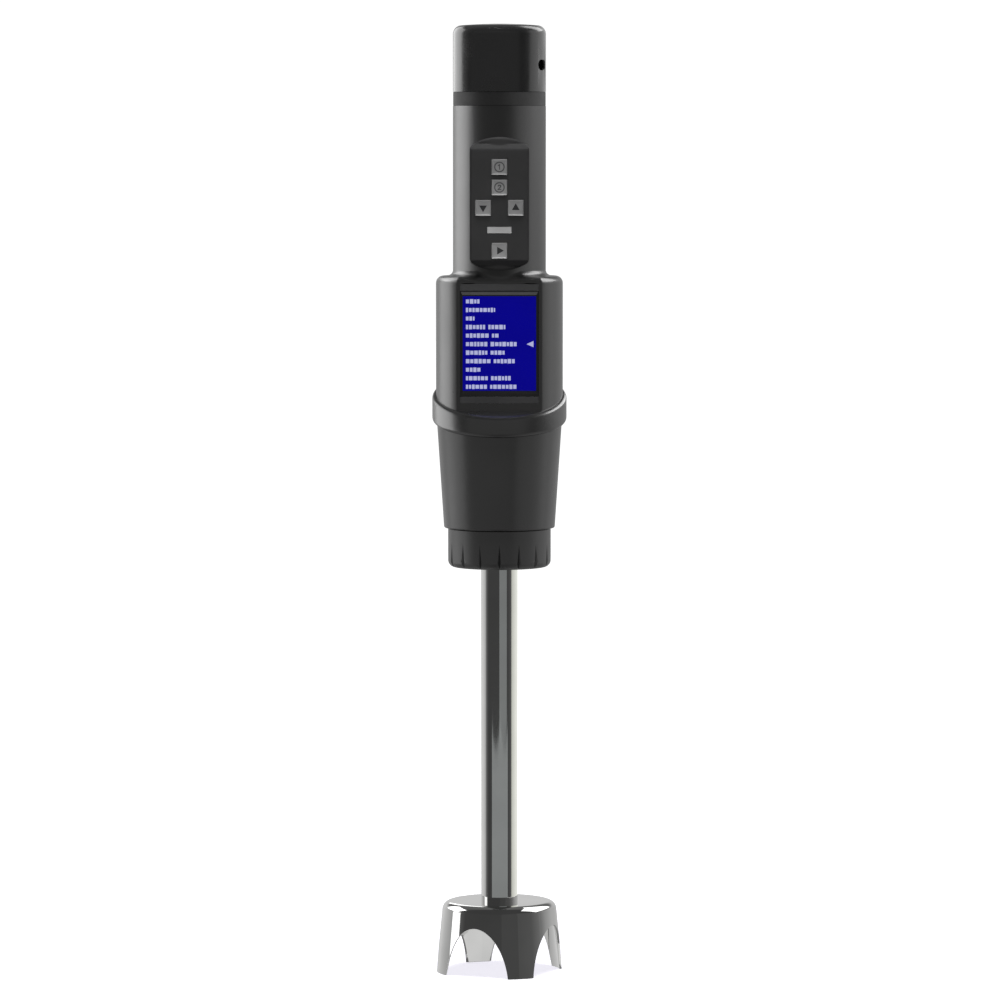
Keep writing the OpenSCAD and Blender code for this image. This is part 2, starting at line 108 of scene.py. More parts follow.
def add_mesh(name, points, faces, material, body, replaces=(), bevel=0.0, sharp=35):
    """A closed piece from points in millimetres, with soft edges, that rides on a body."""
    data = bpy.data.meshes.new(name)
    data.from_pydata([[c * MM for c in p] for p in points], [], faces)
    shape = bmesh.new()
    shape.from_mesh(data)
    bmesh.ops.remove_doubles(shape, verts=shape.verts, dist=1e-7)
    bmesh.ops.recalc_face_normals(shape, faces=shape.faces)
    shape.to_mesh(data)
    shape.free()
    for polygon in data.polygons:
        polygon.use_smooth = True
    data.set_sharp_from_angle(angle=math.radians(sharp))
    data.materials.append(material)
    piece = bpy.data.objects.new(name, data)
    bpy.context.scene.collection.objects.link(piece)
    if bevel:
        soften(piece, bevel, sharp)
    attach(piece, body)
    if replaces:
        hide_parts(*replaces)
    return piece


def soften(piece, width, sharp):
    """Rounds a piece's edges sharper than an angle, width in millimetres."""
    edge = piece.modifiers.new("soft_edges", "BEVEL")
    edge.width = width * MM
    edge.segments = 3
    edge.limit_method = "ANGLE"
    edge.angle_limit = math.radians(sharp)
    edge.harden_normals = True
    edge.miter_outer = "MITER_ARC"


def shell(columns, rows, outer, inner, wrap=False, hole=lambda i, j: False):
    """A closed wall between two surfaces of columns by rows points, open where hole is true."""
    points = [outer(i, j) for i in range(columns) for j in range(rows)]
    points += [inner(i, j) for i in range(columns) for j in range(rows)]
    back = columns * rows
    spans = columns if wrap else columns - 1

    def there(i, j):
        i = i % columns if wrap else i
        return 0 <= i < spans and 0 <= j < rows - 1 and not hole(i, j)

    faces = []
    for i in range(spans):
        for j in range(rows - 1):
            if not there(i, j):
                continue
            k = (i + 1) % columns
            a, b, c, d = i * rows + j, k * rows + j, k * rows + j + 1, i * rows + j + 1
            faces += [(a, b, c, d), (d + back, c + back, b + back, a + back)]
            sides = (((a, b), (i, j - 1)), ((b, c), (i + 1, j)), ((c, d), (i, j + 1)), ((d, a), (i - 1, j)))
            for (p, q), neighbour in sides:
                if not there(*neighbour):
                    faces.append((q, p, p + back, q + back))
    return points, faces


def tube_of_rings(rings, closed=False):
    """Points and faces of rings joined in order, capped at both ends unless the last joins the first."""
    count = len(rings[0])
    points = [p for ring in rings for p in ring]
    faces = []
    for k in range(len(rings) if closed else len(rings) - 1):
        a, b = k * count, (k + 1) % len(rings) * count
        faces += [(a + i, a + (i + 1) % count, b + (i + 1) % count, b + i) for i in range(count)]
    if not closed:
        faces.append(tuple(range(count - 1, -1, -1)))
        faces.append(tuple(range((len(rings) - 1) * count, len(rings) * count)))
    return points, faces


def block(x, z, w, h, front, back):
    """The eight corners and six faces of a block whose front is at y = -front."""
    corners = [(x + sx * w / 2, z + sz * h / 2) for sx, sz in ((-1, -1), (1, -1), (1, 1), (-1, 1))]
    points = [(px, y, pz) for y in (-front, -back) for px, pz in corners]
    return points, [(0, 1, 2, 3), (7, 6, 5, 4), (0, 4, 5, 1), (1, 5, 6, 2), (2, 6, 7, 3), (3, 7, 4, 0)]


def joined(shapes):
    """One list of points and faces from several."""
    points, faces = [], []
    for shape_points, shape_faces in shapes:
        start = len(points)
        points += shape_points
        faces += [tuple(v + start for v in f) for f in shape_faces]
    return points, faces


# ---------------------------------------------------------------- material helpers


def new_node(tree, kind, **values):
    """A shader node with some of its settings given."""
    made = tree.nodes.new(kind)
    for key, value in values.items():
        setattr(made, key, value)
    return made


def color_ramp(tree, factor, stops):
    """Colours at places from 0 to 1 along a factor."""
    ramp = tree.nodes.new("ShaderNodeValToRGB")
    while len(ramp.color_ramp.elements) < len(stops):
        ramp.color_ramp.elements.new(0.5)
    for element, (place, color) in zip(ramp.color_ramp.elements, stops):
        element.position = place
        element.color = (*color, 1)
    tree.links.new(factor, ramp.inputs["Fac"])
    return ramp.outputs["Color"]


class Look:
    """A Principled material driven by procedural textures in object space."""

    def __init__(self, name, color, roughness, **sockets):
        self.material = bpy.data.materials.new(name)
        self.material.use_nodes = True
        self.tree = self.material.node_tree
        self.shader = self.tree.nodes["Principled BSDF"]
        self.shader.inputs["Base Color"].default_value = (*color, 1)
        self.shader.inputs["Roughness"].default_value = roughness
        for socket, value in sockets.items():
            self.shader.inputs[socket.replace("_", " ")].default_value = value
        self.coordinates = self.tree.nodes.new("ShaderNodeTexCoord").outputs["Object"]
        self.height = None

    def node(self, kind, **values):
        return new_node(self.tree, kind, **values)

    def link(self, output, target):
        self.tree.links.new(output, target)

    def noise(self, scale, detail=3.0, roughness=0.55, stretch=(1, 1, 1), distortion=0.0):
        """Noise from 0 to 1; scale is in features per metre."""
        mapping = self.node("ShaderNodeMapping")
        mapping.inputs["Scale"].default_value = stretch
        self.link(self.coordinates, mapping.inputs["Vector"])
        texture = self.node("ShaderNodeTexNoise")
        self.link(mapping.outputs["Vector"], texture.inputs["Vector"])
        texture.inputs["Scale"].default_value = scale
        texture.inputs["Detail"].default_value = detail
        texture.inputs["Roughness"].default_value = roughness
        texture.inputs["Distortion"].default_value = distortion
        return texture.outputs["Fac"]

    def cells(self, scale):
        """Distance to the nearest of scattered points, for grain and pits."""
        texture = self.node("ShaderNodeTexVoronoi")
        self.link(self.coordinates, texture.inputs["Vector"])
        texture.inputs["Scale"].default_value = scale
        return texture.outputs["Distance"]

    def ramp(self, factor, *stops):
        return color_ramp(self.tree, factor, stops)

    def spread(self, factor, low, high, source=(0.3, 0.7)):
        """A factor mapped from a source range to low..high."""
        spread = self.node("ShaderNodeMapRange")
        spread.inputs["From Min"].default_value, spread.inputs["From Max"].default_value = source
        spread.inputs["To Min"].default_value, spread.inputs["To Max"].default_value = low, high
        self.link(factor, spread.inputs["Value"])
        return spread.outputs["Result"]

    def color_from(self, factor, dark, light):
        """Blends the colour from dark to light by a factor."""
        self.link(self.ramp(factor, (0.35, dark), (0.65, light)), self.shader.inputs["Base Color"])
        return self

    def rough_from(self, factor, low, high):
        """Varies the roughness between two values by a factor."""
        self.link(self.spread(factor, low, high), self.shader.inputs["Roughness"])
        return self

    def bump(self, factor, depth):
        """Raises the surface by a factor, depth in millimetres; later calls add to earlier ones."""
        bump = self.node("ShaderNodeBump")
        bump.inputs["Distance"].default_value = depth * MM
        bump.inputs["Strength"].default_value = 1.0
        self.link(factor, bump.inputs["Height"])
        if self.height is not None:
            self.link(self.height, bump.inputs["Normal"])
        self.height = bump.outputs["Normal"]
        self.link(self.height, self.shader.inputs["Normal"])
        return self


def scaled(color, factor):
    """A colour made lighter or darker, at most 1 in each part."""
    return tuple(min(1.0, c * factor) for c in color)


def plastic(name, color, roughness, grain=0.012, grain_scale=2600, **sockets):
    """Moulded plastic: a fine spark-eroded grain, faint flow marks and slightly uneven gloss."""
    look = Look(name, color, roughness, **sockets)
    look.color_from(look.noise(38, 4), scaled(color, 0.90), scaled(color, 1.10))
    look.rough_from(look.noise(22, 5, 0.6, distortion=0.4), roughness - 0.035, roughness + 0.035)
    look.bump(look.noise(grain_scale, 2), grain)
    look.bump(look.noise(55, 2), 0.03)
    return look.material


def gloss_plastic(name, color, roughness, **sockets):
    """Polished plastic: a faint orange peel and a few soft smudges."""
    look = Look(name, color, roughness, **sockets)
    look.color_from(look.noise(30, 3), scaled(color, 0.9), scaled(color, 1.12))
    look.rough_from(look.noise(45, 4, 0.6, distortion=0.6), roughness * 0.75, roughness * 1.45)
    look.bump(look.noise(160, 2), 0.012)
    return look.material


def rubber(name, color):
    """Matte rubber with a dusty, pored skin."""
    look = Look(name, color, 0.52, Specular_IOR_Level=1.0, IOR=1.8)
    look.color_from(look.noise(420, 4), scaled(color, 0.82), scaled(color, 1.2))
    look.rough_from(look.noise(60, 4), 0.46, 0.58)
    look.bump(look.cells(1500), 0.025)
    return look.material


def metal(name, color, roughness, lines=(1, 1, 60), line_depth=0.0015, variation=0.4):
    """Metal with fine finishing lines; lines says how far they are squeezed along x, y and z."""
    look = Look(name, color, roughness, Metallic=1.0)
    look.color_from(look.noise(26, 3), scaled(color, 0.95), scaled(color, 1.04))
    fine = look.noise(90, 3, 0.6, stretch=lines)
    look.rough_from(fine, roughness * (1 - variation), roughness * (1 + variation))
    look.bump(fine, line_depth)
    return look.material


def cast_metal(name, color):
    """Die-cast alloy with a sand-like skin."""
    look = Look(name, color, 0.42, Metallic=1.0)
    look.color_from(look.noise(70, 5), scaled(color, 0.86), scaled(color, 1.06))
    look.rough_from(look.noise(140, 4), 0.34, 0.52)
    look.bump(look.noise(900, 4), 0.03)
    return look.material


def circuit_board(name):
    """Solder mask over copper tracks, which show as a lighter net."""
    look = Look(name, (0.02, 0.14, 0.06), 0.3)
    tracks = look.cells(260)
    net = look.ramp(tracks, (0.0, (0.05, 0.32, 0.14)), (0.35, (0.02, 0.15, 0.06)),
                    (0.8, (0.015, 0.10, 0.045)))
    look.link(net, look.shader.inputs["Base Color"])
    look.rough_from(look.noise(90, 3), 0.22, 0.38)
    look.bump(tracks, 0.03)
    return look.material


def laminated(name, color):
    """A stack of punched steel sheets."""
    look = Look(name, color, 0.45, Metallic=0.9)
    wave = look.node("ShaderNodeTexWave", bands_direction="Z")
    wave.inputs["Scale"].default_value = 600
    look.link(look.coordinates, wave.inputs["Vector"])
    look.color_from(wave.outputs["Fac"], scaled(color, 0.7), scaled(color, 1.15))
    look.rough_from(look.noise(120, 3), 0.38, 0.55)
    look.bump(wave.outputs["Fac"], 0.05)
    return look.material


def windings(name, color):
    """Enamelled copper wire, wound side by side."""
    look = Look(name, color, 0.25, Metallic=0.85, Coat_Weight=0.5)
    wave = look.node("ShaderNodeTexWave", bands_direction="X")
    wave.inputs["Scale"].default_value = 420
    look.link(look.coordinates, wave.inputs["Vector"])
    look.color_from(wave.outputs["Fac"], scaled(color, 0.55), scaled(color, 1.1))
    look.rough_from(look.noise(200, 3), 0.2, 0.34)
    look.bump(wave.outputs["Fac"], 0.12)
    return look.material


def lit(name, color, strength):
    """A lit surface of the display, slightly uneven like a backlight."""
    look = Look(name, (0, 0, 0), 0.35, Specular_IOR_Level=0.0)
    look.link(look.ramp(look.noise(34, 3), (0.3, scaled(color, 0.93)), (0.7, scaled(color, 1.04))),
              look.shader.inputs["Emission Color"])
    look.shader.inputs["Emission Strength"].default_value = strength
    return look.material


def clear_glass(name):
    """Thin clear cover with faint wipe marks."""
    look = Look(name, (0.01, 0.01, 0.012), 0.04, Alpha=0.07)
    look.color_from(look.noise(30, 4), (0.008, 0.008, 0.010), (0.014, 0.014, 0.016))
    look.rough_from(look.noise(40, 4, 0.6, distortion=0.8), 0.02, 0.07)
    look.bump(look.noise(25, 2), 0.004)
    return look.material


# ---------------------------------------------------------------- materials

GLOSS = dict(Specular_IOR_Level=0.9, IOR=1.6)
SATIN = dict(Specular_IOR_Level=1.0, IOR=1.9)
BLACK = (0.018, 0.018, 0.0183)
PAD_GREY = (0.050, 0.050, 0.0507)

body_mat = plastic("satin_body", BLACK, 0.30, **SATIN)
handle_mat = plastic("satin_handle", BLACK, 0.40, **SATIN)
trim_mat = plastic("display_trim", (0.085, 0.085, 0.087), 0.42)
nut_mat = plastic("satin_nut", BLACK, 0.35, grain=0.016, **SATIN)
cap_mat = gloss_plastic("gloss_cap", BLACK, 0.20, **GLOSS)
band_mat = rubber("rubber_band", BLACK)
pad_mat = plastic("matte_pad", PAD_GREY, 0.45, grain=0.02, grain_scale=1900, Specular_IOR_Level=0.55)
key_mat = plastic("key_cap", (0.185, 0.185, 0.185), 0.36, grain=0.01)
mark_mat = plastic("key_mark", (0.026, 0.026, 0.027), 0.4, grain=0.006, Specular_IOR_Level=0.15)
ring_mark_mat = plastic("key_ring_mark", (0.070, 0.070, 0.071), 0.4, grain=0.006, Specular_IOR_Level=0.3)
light_mat = plastic("status_lens", (0.29, 0.29, 0.29), 0.22, grain=0.008, Coat_Weight=0.4)
frame_mat = gloss_plastic("display_frame", (0.020, 0.020, 0.021), 0.16, **GLOSS)
blue_mat = lit("display_blue", (0.003, 0.002, 0.27), 1.0)
text_mat = lit("display_text", (0.50, 0.52, 0.80), 1.0)
glass_mat = clear_glass("cover_glass")
tube_mat = metal("polished_tube", (0.78, 0.78, 0.77), 0.045, lines=(1, 1, 40))
guard_mat = metal("polished_guard", (0.80, 0.80, 0.79), 0.04, lines=(1, 1, 30), variation=0.5)

SLOTS = {
    "gloss_cap": cap_mat,
    "gold_contact": metal("gold_contact", (0.85, 0.62, 0.26), 0.2),
    "circuit_board": circuit_board("circuit_board"),
    "seal_rubber": band_mat,
    "body_plastic": body_mat,
    "nut_plastic": nut_mat,
    "cell_wrap": gloss_plastic("cell_wrap", (0.05, 0.14, 0.42), 0.25),
    "inner_plastic": plastic("inner_plastic", (0.06, 0.06, 0.06), 0.5),
    "pad_plastic": pad_mat,
    "status_lens": light_mat,
    "key_plastic": key_mat,
    "frame_gloss": frame_mat,
    "screen_glass": glass_mat,
    "screen_blue": blue_mat,
    "capacitor_can": gloss_plastic("capacitor_sleeve", (0.03, 0.03, 0.06), 0.3),
    "lead_red": gloss_plastic("lead_sleeve", (0.45, 0.03, 0.02), 0.35),
    "cast_alloy": cast_metal("cast_alloy", (0.62, 0.63, 0.64)),
    "machined_steel": metal("machined_steel", (0.62, 0.62, 0.62), 0.22, lines=(1, 1, 120), line_depth=0.004),
    "lamination": laminated("lamination", (0.20, 0.20, 0.21)),
    "magnet": metal("plated_magnet", (0.50, 0.50, 0.51), 0.3),
    "winding_copper": windings("winding_copper", (0.72, 0.30, 0.12)),
    "tube_steel": tube_mat,
    "bronze_bush": metal("bronze_bush", (0.55, 0.36, 0.16), 0.35),
    "guard_polish": guard_mat,
    "blade_steel": metal("blade_steel", (0.72, 0.72, 0.72), 0.12, lines=(40, 1, 1), line_depth=0.003),
}
slot_of = {part["node"]: part["material_slot"] for part in frame["record"]["subparts"]}
for name, node in frame["nodes"].items():
    node.material_slots[0].material = SLOTS[slot_of[name]]
frame["nodes"]["handle_shell"].material_slots[0].material = handle_mat


# ---------------------------------------------------------------- camera

LOOKS_DOWN = 3.745  # degrees

camera = bpy.data.objects.new("camera", bpy.data.cameras.new("camera"))
bpy.context.scene.collection.objects.link(camera)
bpy.context.scene.camera = camera
camera.data.lens = 194.8
camera.data.sensor_width = 36
camera.data.clip_end = 100
camera.location = (0.0004, -3.680, 0.564)
camera.rotation_euler = (math.radians(90 - LOOKS_DOWN), 0, 0)


# ---------------------------------------------------------------- display housing

SHOULDER = 5.0  # rounding of the shoulder's rim
CORNER = 3.0  # rounding of the upright edges beside the flat front
TRIM_H = 4.6
COVE_REACH = 5.0
COVE_RISE = 3.6
opening_half = frame_high.x + 0.1
frame_bottom = frame_low.z + TAB
frame_top = frame_high.z - TAB
opening_low = frame_bottom - TRIM_H
opening_high = frame_top + TRIM_H


def housing_outline(inset):
    """The housing's outline: a circle with a flat front and round corners, moved inward by inset."""
    r, d = housing_r - inset, flat_d - inset
    c = max(CORNER - inset, 0.6)
    cx = math.sqrt((r - c) ** 2 - (d - c) ** 2)
    a = math.degrees(math.atan2(-(d - c), cx))
    half = min(opening_half, cx)
    flat = [-cx, -half, *[half * k / 6 for k in range(-5, 6)], half, cx]
    if inset > 0:
        flat = [-cx + 2 * cx * k / (len(flat) - 1) for k in range(len(flat))]
    points = arc(0, 0, r, a, 180 - a, 120) + arc(-cx, c - d, c, 180 - a, 270, 8)[1:]
    return points + [(x, -d) for x in flat[1:-1]] + arc(cx, c - d, c, 270, 360 + a, 8)[:-1]


def make_housing():
    """The display housing, with a round shoulder and an opening in its flat front."""
    fillet = [(SHOULDER * (1 - math.cos(t)), shoulder_z - SHOULDER + SHOULDER * math.sin(t))
              for t in [math.radians(7.5 * k) for k in range(13)]]
    straight = [seam_z, (seam_z + opening_low) / 2, opening_low]
    straight += [opening_low + (opening_high - opening_low) * k / 6 for k in range(1, 7)]
    levels = [(0, z) for z in straight] + fillet + [(8.0, shoulder_z), (13.0, shoulder_z)]
    outlines = [housing_outline(inset) for inset, z in levels]
    inner_outlines = [housing_outline(inset + WALL) for inset, z in levels]
    columns = len(outlines[0])

    def outer(i, j):
        return (*outlines[j][i], levels[j][1])

    def on_flat(i):
        x, y = outlines[0][i]
        return abs(y + flat_d) < 0.01 and abs(x) < opening_half + 0.01

    def inner(i, j):
        x, y = inner_outlines[j][i]
        if on_flat(i) and levels[j][0] == 0:
            x = outlines[0][i][0]
        return x, y, min(levels[j][1], shoulder_z - WALL)

    def hole(i, j):
        beside = on_flat(i) and on_flat((i + 1) % columns)
        return beside and opening_low - 0.01 < levels[j][1] < opening_high - 0.01

    points, faces = shell(columns, len(levels), outer, inner, wrap=True, hole=hole)
    add_mesh("display_housing_shell", points, faces, body_mat, "motor_unit", ["display_housing"], bevel=0.35)


def shoulder_height(x, y):
    """Height of the housing's top surface at a point, from how far the point is inside the outline."""
    inside = min(housing_r - math.hypot(x, y), flat_d + y)
    if inside >= SHOULDER:
        return shoulder_z
    return shoulder_z - SHOULDER + math.sqrt(max(SHOULDER ** 2 - (SHOULDER - max(inside, 0)) ** 2, 0))


def make_cove():
    """The soft inside corner where the handle rises from the shoulder, narrower at the flat front."""
    inner_r = handle_r - 0.6
    rings = []
    for k in range(160):
        a = TAU * k / 160
        forward = -math.sin(a)
        edge = min(housing_r, flat_d / forward) if forward > 0.5 else housing_r
        span = min(COVE_REACH, edge - handle_r - 0.08)
        rise = COVE_RISE * (0.4 + 0.6 * span / COVE_REACH)
        section = []
        for t in range(11):
            u = t / 10
            r = handle_r + span * u
            lift = rise * (1 - math.sqrt(1 - (1 - u) ** 2))
            x, y = r * math.cos(a), r * math.sin(a)
            section.append((x, y, shoulder_height(x, y) + lift))
        low = min(p[2] for p in section) - 1.2
        inner = inner_r * math.cos(a), inner_r * math.sin(a)
        section += [(*section[-1][:2], low), (*inner, low), (*inner, section[0][2])]
        rings.append(section)
    points, faces = tube_of_rings(rings, closed=True)
    add_mesh("shoulder_cove", points, faces, body_mat, "motor_unit", sharp=50)


make_housing()
make_cove()


# ---------------------------------------------------------------- collar ring

COLLAR_ROUND = 2.6
LOW_ROUND = 3.7
TOP_SLOPE = 0.304
LOW_SLOPE = 0.204
CUP_LOW_R = 37.8
cup_low, cup_high = box_mm("motor_cup")
collar_side_z = seam_z + 17.4
collar_low_z = seam_z - 1.6


def cup_radius(z):
    """Radius of the motor cup's outside at a height."""
    return CUP_LOW_R + (cup_high.x - CUP_LOW_R) * (z - cup_low.z) / (seam_z - cup_low.z)


def make_collar():
    """The slanted band round the seam, whose top edge slopes more than its lower one."""
    cup_edge = cup_radius(seam_z - 3)
    steps = 192
    rings = []
    for k in range(steps):
        a = TAU * k / steps
        c, s = math.cos(a), math.sin(a)
        inside = min(housing_r + 0.05, (flat_d + 0.05) / c) if c > 0.1 else housing_r + 0.05

        def top(r):
            return collar_side_z - TOP_SLOPE * r * c

        def low(r):
            return collar_low_z - LOW_SLOPE * r * c

        lip = low(cup_edge)
        section = [(inside, top(inside))]
        for n in range(11):
            t = math.radians(90 - 9 * n)
            r = collar_r - COLLAR_ROUND + COLLAR_ROUND * math.cos(t)
            section.append((r, top(r) - COLLAR_ROUND * (1 - math.sin(t))))
        for n in range(9):
            t = math.radians(90 - 10 * n)
            r = collar_r - LOW_ROUND + LOW_ROUND * math.sin(t)
            share = (r - cup_edge) / (collar_r - cup_edge)
            section.append((r, lip + (low(collar_r) - lip) * share + LOW_ROUND * (1 - math.cos(t))))
        seat = max(seam_z + 0.1, lip + 0.15)
        on_cup = max(0.0, min(1.0, (seam_z + 0.1 - lip) / 1.5))
        on_housing = (1 - on_cup) * (housing_r + 0.2)
        section += [(on_cup * (cup_radius(min(lip, seam_z)) + 0.15) + on_housing, lip),
                    (on_cup * (cup_edge + 0.4) + on_housing, seat), (inside, seat)]
        rings.append([(r * s, -r * c, z) for r, z in section])
    points, faces = tube_of_rings(rings, closed=True)
    add_mesh("collar_band", points, faces, body_mat, "motor_unit", ["collar_ring"], sharp=30)


make_collar()


# ---------------------------------------------------------------- keypad

BOW = 38.5  # radius of the pad's bowed upper and lower ends
PAD_CORNER = 4.0
APRON = 0.9  # thickness of the thin margin round the raised part
APRON_EDGE = 2.2
SIDE_ROUND = 1.6
END_SLOPE = 0.72
TOP_MARGIN = 4.6
LOW_MARGIN = 3.2
POCKET_HALF = 17.6
KEY_FLANGE = 1.6
KEY_CHAMFER = 0.75
KEYS = ["key_one", "key_two", "key_down", "key_up", "key_start"]
NUMBERED = ("key_one", "key_two")
PROUD = 0.03  # how far a printed mark stands out
LENS_W = 16.4
LENS_H = 4.3
LENS_GAP = 0.1
pad_mid = (pad_low.z + pad_high.z) / 2
pad_half_h = (pad_high.z - pad_low.z) / 2
pad_half_w = pad_high.x
key_w = box_mm("key_one")[1].x * 2 - KEY_FLANGE
light_low, light_high = box_mm("status_light")
light_z = (light_low.z + light_high.z) / 2


def key_place(name):
    """Centre of a key, as x and z."""
    low, high = box_mm(name)
    return (low.x + high.x) / 2, (low.z + high.z) / 2


def pad_reach(x):
    """How far the pad's outline reaches above and below its middle at x."""
    x = min(abs(x), pad_half_w)
    rise = math.sqrt((BOW - PAD_CORNER) ** 2 - (pad_half_w - PAD_CORNER) ** 2)
    corner_z = pad_half_h - BOW + rise
    turn = math.atan2(rise, pad_half_w - PAD_CORNER)
    if x <= BOW * math.cos(turn):
        return pad_half_h - BOW + math.sqrt(BOW ** 2 - x ** 2)
    return corner_z + math.sqrt(max(PAD_CORNER ** 2 - (x - (pad_half_w - PAD_CORNER)) ** 2, 0))


def soft_max(a, b, width):
    """The larger of two values, with a round transition between them."""
    h = max(width - abs(a - b), 0) / width
    return max(a, b) + h * h * width / 4


def pad_surface(x, z):
    """How far the pad stands out from the spin axis at a point of its front view."""
    handle = math.sqrt(handle_r ** 2 - x ** 2)
    from_end = pad_reach(x) - abs(z - pad_mid)
    from_side = pad_half_w - abs(x)
    edge = max(0.0, min(1.0, min(from_end, from_side * 1.4) / APRON_EDGE))
    apron = handle + 0.06 + APRON * math.sqrt(1 - (1 - edge) ** 2)
    end_z = pad_half_h - (TOP_MARGIN if z > pad_mid else LOW_MARGIN)
    slope = handle_r + 0.4 + (end_z - abs(z - pad_mid)) * END_SLOPE
    side = min(from_side, SIDE_ROUND)
    flat = pad_front - SIDE_ROUND + math.sqrt(SIDE_ROUND ** 2 - (SIDE_ROUND - side) ** 2)
    raised = -soft_max(-slope, -flat, 0.5)
    if abs(z - pad_mid) > end_z:
        raised = min(raised, handle + 0.3 - 2.0 * (abs(z - pad_mid) - end_z))
    share = max(0.0, min(1.0, from_end / 0.8))
    return soft_max(apron, raised, 0.35) * share + (handle + 0.06) * (1 - share)


def steps_between(marks, size):
    """Places from the first mark to the last, on every mark and no more than size apart."""
    places = [marks[0]]
    for a, b in zip(marks, marks[1:]):
        count = max(1, math.ceil((b - a) / size - 1e-6))
        places += [a + (b - a) * k / count for k in range(1, count + 1)]
    return places


def make_pad():
    """The raised pad on a grid that has lines along every edge of its square holes."""
    gap = 0.2
    holes = [(x, z, key_w / 2 + gap, key_w / 2 + gap) for x, z in map(key_place, KEYS)]
    holes.append((0, light_z, LENS_W / 2 + LENS_GAP, LENS_H / 2 + LENS_GAP))
    across = sorted({round(x + s * w, 4) for x, z, w, h in holes for s in (-1, 1)})
    upright = sorted({round(z + s * h, 4) for x, z, w, h in holes for s in (-1, 1)})
    side = [pad_half_w - t for t in (0.0, 0.1, 0.25, 0.5, 0.8, 1.1, 1.6, 2.2)]
    xs = sorted([-x for x in side] + side + steps_between([-side[-1], *across, side[-1]], 0.9)[1:-1])
    straight = pad_mid - upright[0]
    zs = steps_between([*upright, pad_mid + straight], 0.9)
    ends = [k / 22 for k in range(1, 23)]
    rows = len(zs) + 2 * len(ends)

    def place(i, j):
        x = xs[i]
        if j < len(ends):
            share = ends[len(ends) - 1 - j]
            z = pad_mid - straight - (pad_reach(x) - straight) * share
        elif j < len(ends) + len(zs):
            z = zs[j - len(ends)]
        else:
            share = ends[j - len(ends) - len(zs)]
            z = pad_mid + straight + (pad_reach(x) - straight) * share
        return x, z

    def outer(i, j):
        x, z = place(i, j)
        return x, -pad_surface(x, z), z

    def inner(i, j):
        x, z = place(i, j)
        handle = math.sqrt(handle_r ** 2 - x ** 2) - 0.4
        out = pad_surface(x, z)
        pocket = abs(x) < POCKET_HALF and abs(z - pad_mid) < pad_half_h - 6
        return x, -(out - 2.0 if pocket else min(handle, out - 0.3)), z

    def hole(i, j):
        ax, az = place(i, j)
        bx, bz = place(i + 1, j + 1)
        mx, mz = (ax + bx) / 2, (az + bz) / 2
        return any(abs(mx - x) < w and abs(mz - z) < h for x, z, w, h in holes)

    points, faces = shell(len(xs), rows, outer, inner, hole=hole)
    add_mesh("keypad_pad", points, faces, pad_mat, "motor_unit", ["keypad_bezel"], bevel=0.18, sharp=50)


def square_ring(x, z, half, y, corner):
    """A ring of points round a square with round corners, at depth y."""
    reach = half - corner
    points = []
    for quarter, (sx, sz) in enumerate(((1, 1), (-1, 1), (-1, -1), (1, -1))):
        start = 90 * quarter
        points += arc(x + sx * reach, z + sz * reach, corner, start, start + 90, 4)
    return [(px, y, pz) for px, pz in points]


def make_key(name):
    """A key: a square cap with chamfered edges, and the flange that keeps it behind the pad."""
    low, high = box_mm(name)
    x, z = key_place(name)
    front, back = -low.y, -high.y
    half, foot_half = key_w / 2, (key_w + KEY_FLANGE) / 2
    rim, under_pad = front - KEY_CHAMFER, pad_front - 2.05
    rings = [
        (foot_half, back, 0.8), (foot_half, under_pad, 0.8),
        (half, under_pad, 0.5), (half, rim - 0.15, 0.5), (half - 0.08, rim, 0.5),
        (half - KEY_CHAMFER, front - 0.06, 0.45), (half - KEY_CHAMFER - 0.15, front, 0.4),
        (half - 4.0, front, 0.4)]
    points, faces = tube_of_rings([square_ring(x, z, h, -y, c) for h, y, c in rings])
    add_mesh(name + "_cap", points, faces, key_mat, name, [name], sharp=25)
    make_mark(name, x, z, front)


def stroke(path, width, x, z, front):
    """A printed line along a path, a little proud of the key's face."""
    shapes = []
    for (ax, az), (bx, bz) in zip(path, path[1:]):
        along = Vector((bx - ax, bz - az)).normalized() * width / 2
        side = Vector((-along.y, along.x))
        start, end = Vector((ax, az)) - along, Vector((bx, bz)) + along
        shapes.append(plate([start + side, start - side, end - side, end + side], x, z, front))
    return joined(shapes)


def plate(corners, x, z, front, thickness=0.14):
    """A flat printed shape that stands a little proud of a face at y = -front."""
    rings = [[(x + cx, -(front + d), z + cz) for cx, cz in corners] for d in (-thickness, PROUD)]
    return tube_of_rings(rings)


def make_mark(name, x, z, front):
    """A key's printed mark: a number in a ring, or an arrow."""
    if name in NUMBERED:
        proud, sunk = -(front + PROUD), -(front - 0.1)
        outer, inner = arc(x, z, 3.6, 0, 360, 48)[:-1], arc(x, z, 2.75, 0, 360, 48)[:-1]
        sections = [[(ox, sunk, oz), (ox, proud, oz), (ix, proud, iz), (ix, sunk, iz)]
                    for (ox, oz), (ix, iz) in zip(outer, inner)]
        digit = [(-0.75, 0.95), (0.1, 1.5), (0.1, -1.5)]
        if name == "key_two":
            digit = [(-0.85, 0.85), (-0.55, 1.35), (0.1, 1.5), (0.75, 1.2), (0.85, 0.6), (0.5, 0.05),
                     (-0.9, -1.45), (0.95, -1.45)]
        points, faces = joined([tube_of_rings(sections, closed=True), stroke(digit, 0.7, x, z, front)])
    else:
        turn = {"key_up": 90, "key_down": 270, "key_start": 0}[name]
        points, faces = plate(arc(0, 0, 3.0, turn, turn + 240, 2), x, z, front)
    add_mesh(name + "_mark", points, faces, ring_mark_mat if name in NUMBERED else mark_mat, name)


